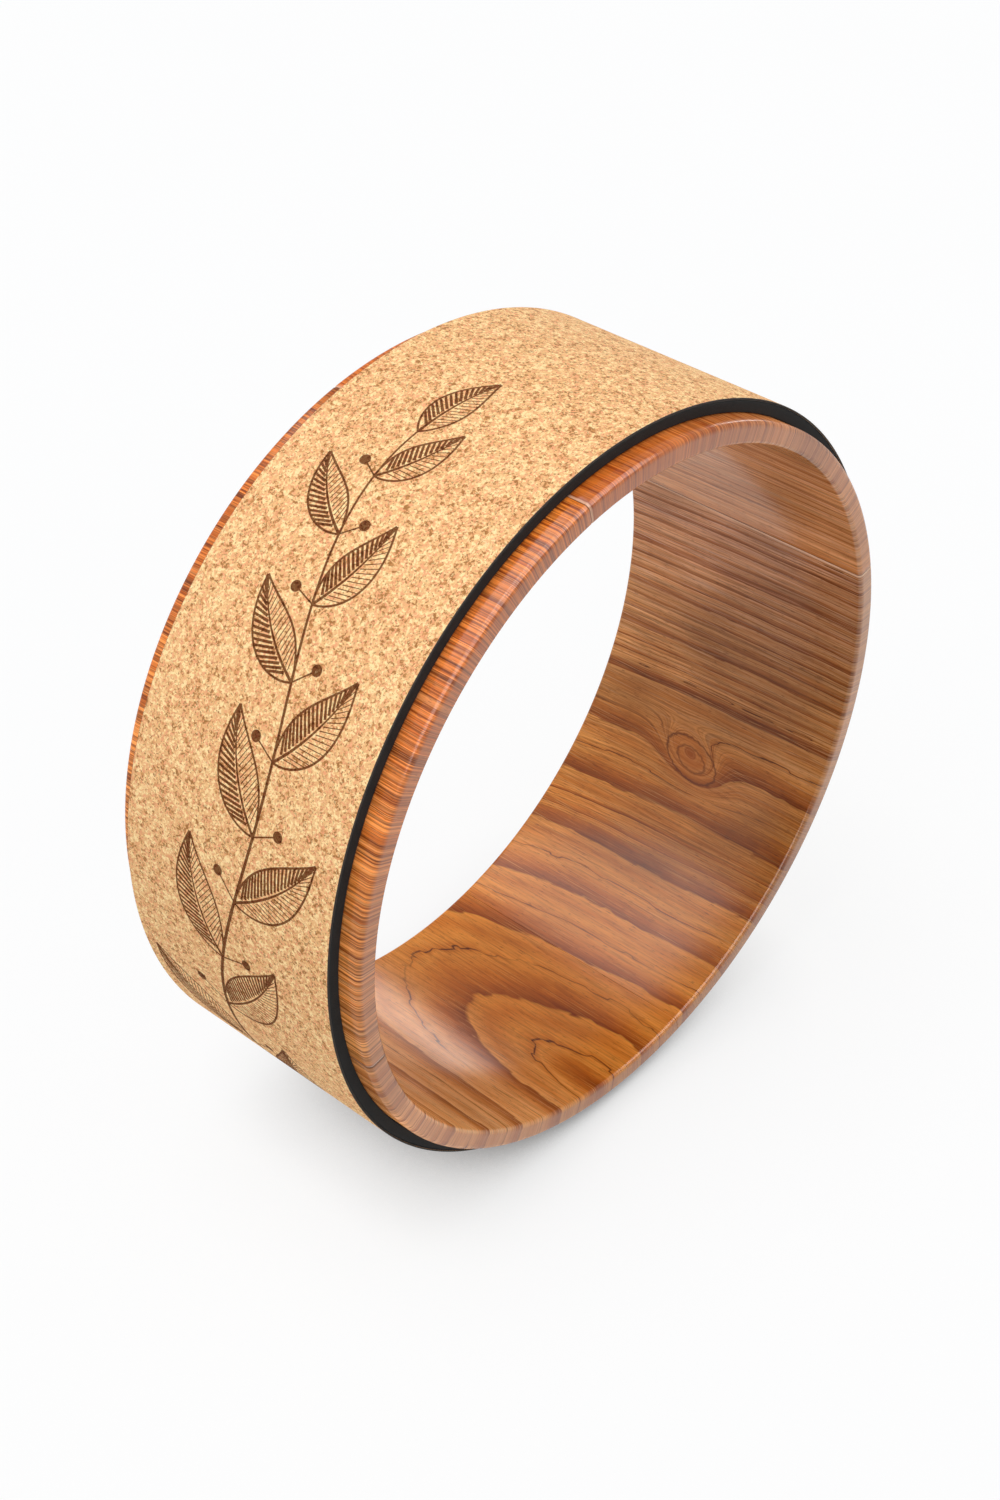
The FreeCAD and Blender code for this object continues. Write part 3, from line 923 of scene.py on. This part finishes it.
def shown_share(tree):
    """Socket that is 1 for rays that show the surround itself, and 0 for those that carry its light."""
    rays = tree.nodes.new("ShaderNodeLightPath")
    shown = rays.outputs["Is Camera Ray"]
    for kind in ("Is Glossy Ray", "Is Transmission Ray"):
        either = tree.nodes.new("ShaderNodeMath")
        either.operation = "MAXIMUM"
        tree.links.new(shown, either.inputs[0])
        tree.links.new(rays.outputs[kind], either.inputs[1])
        shown = either.outputs[0]
    return shown


def mix_shaders(tree, share, first, second, output):
    """Sends two shaders to an output node, mixed by a share of the second."""
    choice = tree.nodes.new("ShaderNodeMixShader")
    tree.links.new(share, choice.inputs[0])
    tree.links.new(first.outputs[0], choice.inputs[1])
    tree.links.new(second.outputs[0], choice.inputs[2])
    tree.links.new(choice.outputs[0], tree.nodes[output].inputs["Surface"])


def make_floor():
    """A round white floor under the tread. Its glow dims under the wheel and hides faint shadows."""
    turns = [math.tau * side / FLOOR_SIDES for side in range(FLOOR_SIDES)]
    points = [(FLOOR_RADIUS * math.cos(turn), FLOOR_RADIUS * math.sin(turn), -TREAD) for turn in turns]
    floor = make_object("floor", points, [tuple(range(FLOOR_SIDES))])
    n = Nodes("floor_white")
    tone = n.noise(n.millimetres(), 0.004, 2.0)
    colour = n.ramp(tone, [(0.3, (0.78, 0.80, 0.82)), (0.7, (0.80, 0.82, 0.84))])
    paint(floor, n.finish(Base_Color=colour, Roughness=0.9, Specular_IOR_Level=0.0))
    open_sky = n.add("ShaderNodeAmbientOcclusion", {"Distance": SHADE_REACH}, samples=16).outputs["AO"]
    shade = n.ramp(open_sky, [(share, (level, level, level)) for share, level in FLOOR_SHADE])
    glow = n.add("ShaderNodeEmission", {"Strength": shade})
    share = n.math("MULTIPLY", shown_share(n.tree), FLOOR_GLOW)
    mix_shaders(n.tree, share, n.shader, glow, "Material Output")


def make_surround():
    """A white surround that lights less than it shows."""
    world = bpy.data.worlds.new("studio")
    bpy.context.scene.world = world
    world.use_nodes = True
    tree = world.node_tree
    soft = tree.nodes["Background"]
    seen = tree.nodes.new("ShaderNodeBackground")
    for background, strength in ((soft, AMBIENT), (seen, 1)):
        background.inputs["Color"].default_value = (1, 1, 1, 1)
        background.inputs["Strength"].default_value = strength
    mix_shaders(tree, shown_share(tree), soft, seen, "World Output")


def make_lamp(name, towards, share, angle, shadow):
    """A distant lamp with soft shadows, or with none."""
    data = bpy.data.lights.new(name, "SUN")
    data.energy = share * math.pi
    data.angle = math.radians(angle)
    data.use_shadow = shadow
    item = bpy.data.objects.new(name, data)
    item.location = towards
    item.rotation_euler = Vector(towards).to_track_quat("Z", "Y").to_euler()
    bpy.context.collection.objects.link(item)


def make_soft_box(name, place, faces, size, brightness):
    """A lit panel that only shows in the gloss."""
    data = bpy.data.lights.new(name, "AREA")
    data.shape = "RECTANGLE"
    data.size, data.size_y = size
    data.energy = brightness * size[0] * size[1] * math.pi
    item = bpy.data.objects.new(name, data)
    item.location = place
    item.rotation_euler = Vector(faces).to_track_quat("-Z", "Y").to_euler()
    item.visible_diffuse = False
    bpy.context.collection.objects.link(item)


def direction(turn, rise):
    """Unit vector towards a turn from -Y and a rise above the horizon."""
    return Vector((math.sin(turn) * math.cos(rise), -math.cos(turn) * math.cos(rise), math.sin(rise)))


def make_camera():
    """The camera at the photograph's viewing angle."""
    data = bpy.data.cameras.new("camera")
    data.lens = LENS
    camera = bpy.data.objects.new("camera", data)
    bpy.context.collection.objects.link(camera)
    back = direction(CAMERA_TURN + AIM_TURN, CAMERA_RISE + AIM_RISE)
    right = Vector((0, 0, 1)).cross(back).normalized()
    turn = Matrix((right, back.cross(right), back)).transposed().to_4x4()
    camera.matrix_world = Matrix.Translation(direction(CAMERA_TURN, CAMERA_RISE) * CAMERA_DISTANCE) @ turn
    bpy.context.scene.camera = camera


def main():
    for number, node in enumerate(FOILS):
        sheet, middle = make_foil(node)
        paint(sheet, wood_material(number + 1, middle, GRAIN[number]))
    foam = make_strip("pad_foam", "foam_pad", FOAM_BACK, FOAM_FACE, PAD, FOAM_ROUND, FOAM_HOLLOW,
                      FOAM_JOINT)
    paint(foam, foam_material())
    cork = make_strip("tread_cork", "cork_cover", CORK_BACK, TREAD, CORK, CORK_ROUND, CORK_HOLLOW,
                      CORK_JOINT)
    edge = cut_edge_material()
    paint(cork, cork_material(), edge)
    darken_cut_edge(cork, CORK)
    ink = ink_material()
    for number, base in enumerate(SPRIG_BASES):
        paint(make_print(number + 1, base), ink)
    paint(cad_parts["hoop"], plastic_material())
    paint(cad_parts["pad_tape"], adhesive_material())
    paint(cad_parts["cork_glue"], edge)
    make_floor()
    make_surround()
    for lamp in LAMPS:
        make_lamp(**lamp)
    for box in BOXES:
        make_soft_box(**box)
    make_camera()
    bpy.context.scene.view_settings.view_transform = "Standard"


main()
